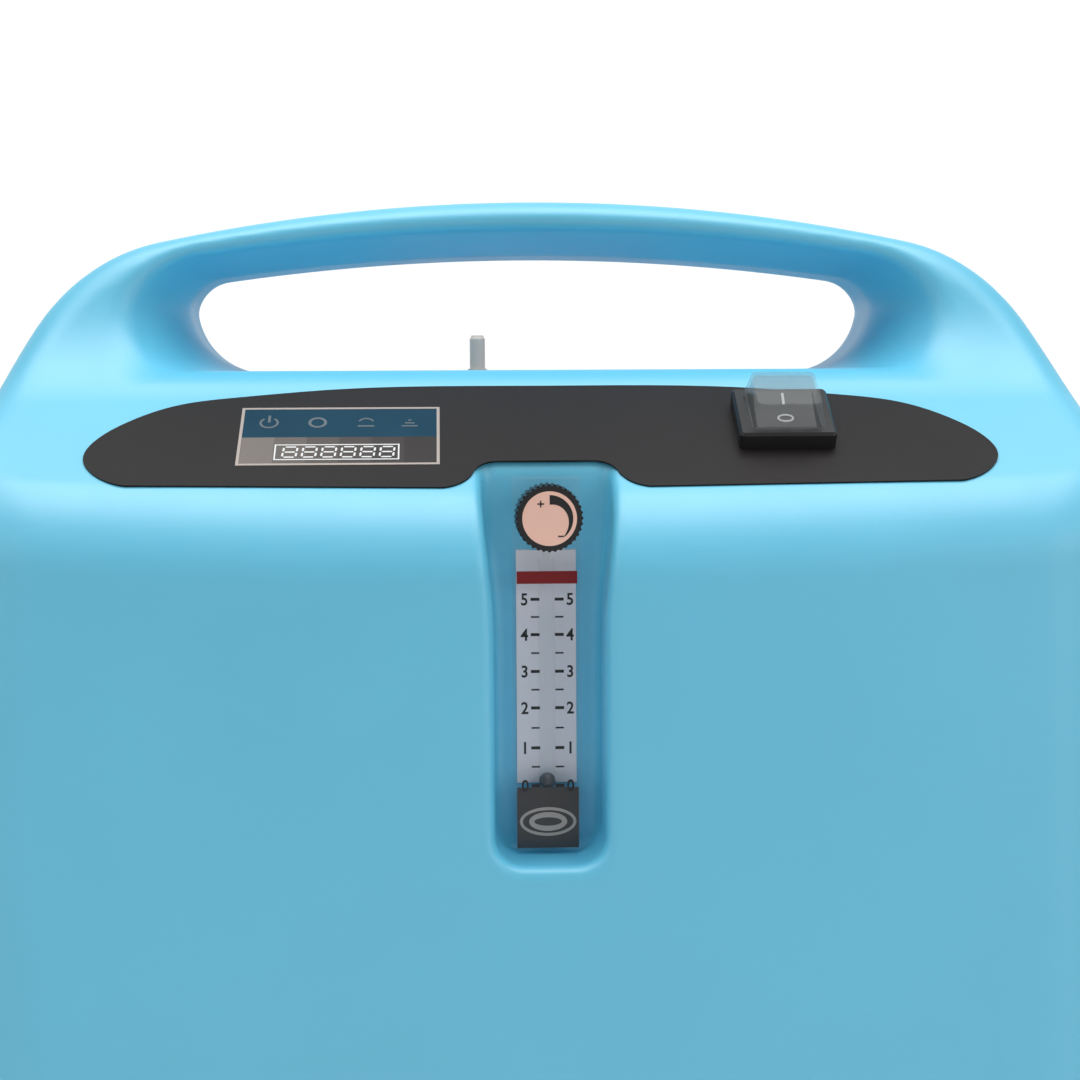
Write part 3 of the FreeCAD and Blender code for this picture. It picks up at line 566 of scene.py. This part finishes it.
PRINT_BLACK = material("print_black", (0.008, 0.008, 0.009), 0.5)
PRINT_GREY = material("print_grey", (0.10, 0.13, 0.15), 0.4)
PRINT_RED = material("print_red", (0.26, 0.0, 0.002), 0.45)
AMBER_DARK = material("dark_amber", (0.055, 0.050, 0.050), 0.25, vary=0.3)
# Lower half of the display: its own grey, darkening strip by strip from left to right as a painted reflection
# on the glass.
LCD_STRIPS = 6
LCD_GREY_AND_REFLECTION = []
for n in range(LCD_STRIPS):
    strip_grey_and_reflection = (0.19 * 0.72 ** n, 0.17 * 0.72 ** n, 0.155 * 0.73 ** n)
    LCD_GREY_AND_REFLECTION.append(material("lcd_ground_and_reflection_%d" % n, strip_grey_and_reflection, 0.3, vary=0.1, ior=1.3))


def dress(obj, mat):
    obj.data.materials.clear()
    obj.data.materials.append(mat)


def piece(obj, body, mat):
    """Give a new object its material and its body."""
    dress(obj, mat)
    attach(obj, body)
    return obj


slot_of = {s["node"]: s["material_slot"] for s in frame["record"]["subparts"]}
for node_name, node_object in NODES.items():
    dress(node_object, SLOT_MATERIALS[slot_of[node_name]])

# ---------------------------------------------------------------- casing
front_skin, rear_skin = casing_halves()
piece(front_skin, "chassis", SLOT_MATERIALS["casing"])
piece(rear_skin, "chassis", SLOT_MATERIALS["casing"])
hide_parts("front_shell")
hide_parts("rear_shell")

# ---------------------------------------------------------------- display


def on_lcd(u, v, w):
    return on_panel(u, v, w, *LCD_CENTRE)


lcd_border = prints("lcd_border", frame_bits(-30.75, 30.75, -15.7, 15.7, 0.9), on_lcd, 0.58, 0.75)
piece(lcd_border, "chassis", PRINT_SILVER)
# Painted reflection: the grey strips fade from left to right over the display's own grey.
for n, grey in enumerate(LCD_GREY_AND_REFLECTION):
    left = -29.8 + n * 59.6 / LCD_STRIPS
    strip = [rect(left, left + 59.6 / LCD_STRIPS, -14.8, -0.6)]
    piece(prints("lcd_ground_reflection_strip_%d" % n, strip, on_lcd, 0.56, 0.61), "chassis", grey)
digits = frame_bits(-19.5, 18.5, -12.9, -4.6, 0.45)
for n in range(6):
    digits += seven_segments(-17.0 + n * 5.9, -11.4, 4.1, 5.4, 0.62, lean=0.08)
piece(prints("lcd_digits", digits, on_lcd, 0.58, 0.7), "chassis", PRINT_WHITE)
icons = ring_bits(-22.0, 7.4, 3.0, 3.0, 0.7, 125, 415, 20) + [rect(-22.4, -21.6, 7.6, 11.4)]
icons += ring_bits(-7.0, 7.4, 2.9, 2.9, 0.9, 0, 360, 24)
icons += ring_bits(8.0, 7.2, 2.6, 2.6, 0.6, 20, 160, 12) + [rect(5.4, 10.6, 5.0, 5.7)]
icons += [rect(19.0, 24.0, 5.0, 5.6), rect(20.0, 23.0, 6.6, 7.2), rect(21.0, 22.0, 8.2, 8.8)]
piece(prints("lcd_icons", icons, on_lcd, 0.58, 0.68), "chassis", PRINT_GREY)

# ---------------------------------------------------------------- switch marks


def on_switch_front(u, v, w):
    tilt = math.atan2(1.6, 8.6)
    return on_panel(u, -4.3 + v * math.cos(tilt), 6.2 + v * math.sin(tilt) + w, *SWITCH_CENTRE)


def on_switch_rear(u, v, w):
    tilt = math.atan2(2.4, 7.0)
    return on_panel(u, 3.5 + v * math.cos(tilt), 8.2 + v * math.sin(tilt) + w, *SWITCH_CENTRE)


off_ring = prints("mark_off", ring_bits(0, 0, 2.6, 1.7, 0.6), on_switch_front, -0.1, 0.12)
piece(off_ring, "rocker", PRINT_WHITE)
on_bar = prints("mark_on", [rect(-0.4, 0.4, -2.2, 2.2)], on_switch_rear, -0.1, 0.12)
piece(on_bar, "rocker", PRINT_WHITE)

# ---------------------------------------------------------------- flow meter


def on_meter(u, v, w):
    return (u, METER_FACE - w, v)


card = prints("scale_card", [rect(-9.1, 9.1, 407.4, 478.7)], on_meter, -6.65, -6.45)
piece(card, "chassis", SLOT_MATERIALS["label"])
levels = [464.3, 453.6, 442.4, 431.3, 419.1, 407.5]
ticks = []
for i, z in enumerate(levels):
    ticks += [rect(-5.0, -2.3, z - 0.45, z + 0.45), rect(2.3, 5.0, z - 0.45, z + 0.45)]
    if i:
        zm = (z + levels[i - 1]) / 2
        ticks += [rect(-4.9, -2.4, zm - 0.25, zm + 0.25), rect(2.4, 4.9, zm - 0.25, zm + 0.25)]
piece(prints("scale_ticks", ticks, on_meter, -0.05, 0.08), "chassis", PRINT_BLACK)
marks = []
for i, z in enumerate(levels):
    marks += [(str(5 - i), -6.9, z), (str(5 - i), 6.9, z)]
piece(numerals("scale_numerals", marks, on_meter, 3.7, -0.05, 0.08), "chassis", PRINT_BLACK)
band = prints("scale_band", [rect(-9.15, 9.15, 469.0, 472.8)], on_meter, -0.02, 0.1)
piece(band, "chassis", PRINT_RED)
foot = prints("meter_foot", [rect(-9.4, 9.4, 388.4, 407.0)], on_meter, -0.02, 0.05)
piece(foot, "chassis", AMBER_DARK)
oval = ring_bits(0, 396.5, 8.6, 4.4, 0.9, 0, 360, 40) + ring_bits(0, 396.5, 5.8, 2.9, 1.6, 0, 360, 32)
piece(prints("meter_ellipse", oval, on_meter, 0.03, 0.16), "chassis", PRINT_SILVER)

# ---------------------------------------------------------------- knob marks


def on_knob(u, v, w):
    return (u, KNOB_FACE - w, KNOB_Z + v)


crescent = []
for i in range(36):
    t0 = 90.0 - 140.0 * i / 36
    t1 = 90.0 - 140.0 * (i + 1) / 36
    quad = []
    for t, k in ((t0, 0), (t1, 0), (t1, 1), (t0, 1)):
        fade = 1.0 - (90.0 - t) / 140.0
        r = 6.9 - k * (0.25 + 2.6 * fade ** 0.8)
        quad.append((r * math.cos(math.radians(t)), r * math.sin(math.radians(t))))
    crescent.append(quad)
crescent += [rect(-3.6, -1.6, 4.1, 4.5), rect(-2.8, -2.4, 3.3, 5.3), rect(2.4, 4.2, -5.4, -5.0)]
piece(prints("knob_marks", crescent, on_knob, -0.05, 0.06), "knob", PRINT_BLACK)

# ---------------------------------------------------------------- stage, light and camera
FLOOR_HALF = 4.0
floor_corners = [(i * FLOOR_HALF, j * FLOOR_HALF, -0.0005) for i, j in ((-1, -1), (1, -1), (1, 1), (-1, 1))]
floor = new_object("floor", floor_corners, [(0, 1, 2, 3)], smooth=False)
dress(floor, material("floor_pale", (0.80, 0.81, 0.82), 0.7, vary=0.02))


def area_light(name, place, aim, size, power):
    data = bpy.data.lights.new(name, "AREA")
    data.shape = "RECTANGLE"
    data.size, data.size_y = size
    data.energy = power
    lamp = bpy.data.objects.new(name, data)
    bpy.context.scene.collection.objects.link(lamp)
    lamp.location = place
    lamp.rotation_euler = (Vector(aim) - Vector(place)).to_track_quat("-Z", "Y").to_euler()


area_light("overhead", (0.0, -0.3, 2.2), (0, 0, 0.5), (2.6, 1.5), 40.0)
area_light("front_right", (1.7, -1.9, 1.0), (0, 0, 0.4), (1.2, 1.4), 9.0)
area_light("front_left", (-1.9, -1.7, 1.2), (0, 0, 0.4), (1.0, 1.2), 4.0)

world = bpy.data.worlds.new("studio")
bpy.context.scene.world = world
world.use_nodes = True
wn = world.node_tree.nodes
wl = world.node_tree.links
back = wn["Background"]
way = wn.new("ShaderNodeSeparateXYZ")
wl.new(wn.new("ShaderNodeTexCoord").outputs["Generated"], way.inputs["Vector"])
behind = wn.new("ShaderNodeMapRange")
behind.interpolation_type = "SMOOTHSTEP"
behind.inputs["From Min"].default_value = 0.45
behind.inputs["From Max"].default_value = 0.88
behind.inputs["To Min"].default_value = 0.30
behind.inputs["To Max"].default_value = 1.05
wl.new(way.outputs["Y"], behind.inputs["Value"])
wl.new(behind.outputs["Result"], back.inputs["Strength"])
back.inputs["Color"].default_value = (1, 1, 1, 1)

lens = bpy.data.cameras.new("camera")
lens.sensor_width = 36.0
lens.lens = 68.8
camera = bpy.data.objects.new("camera", lens)
bpy.context.scene.collection.objects.link(camera)
camera.location = (-0.0297, -0.725, 0.525)
camera.rotation_euler = (math.radians(86.05), math.radians(0.3), math.radians(-2.58))
bpy.context.scene.camera = camera
bpy.context.scene.view_settings.view_transform = "Standard"
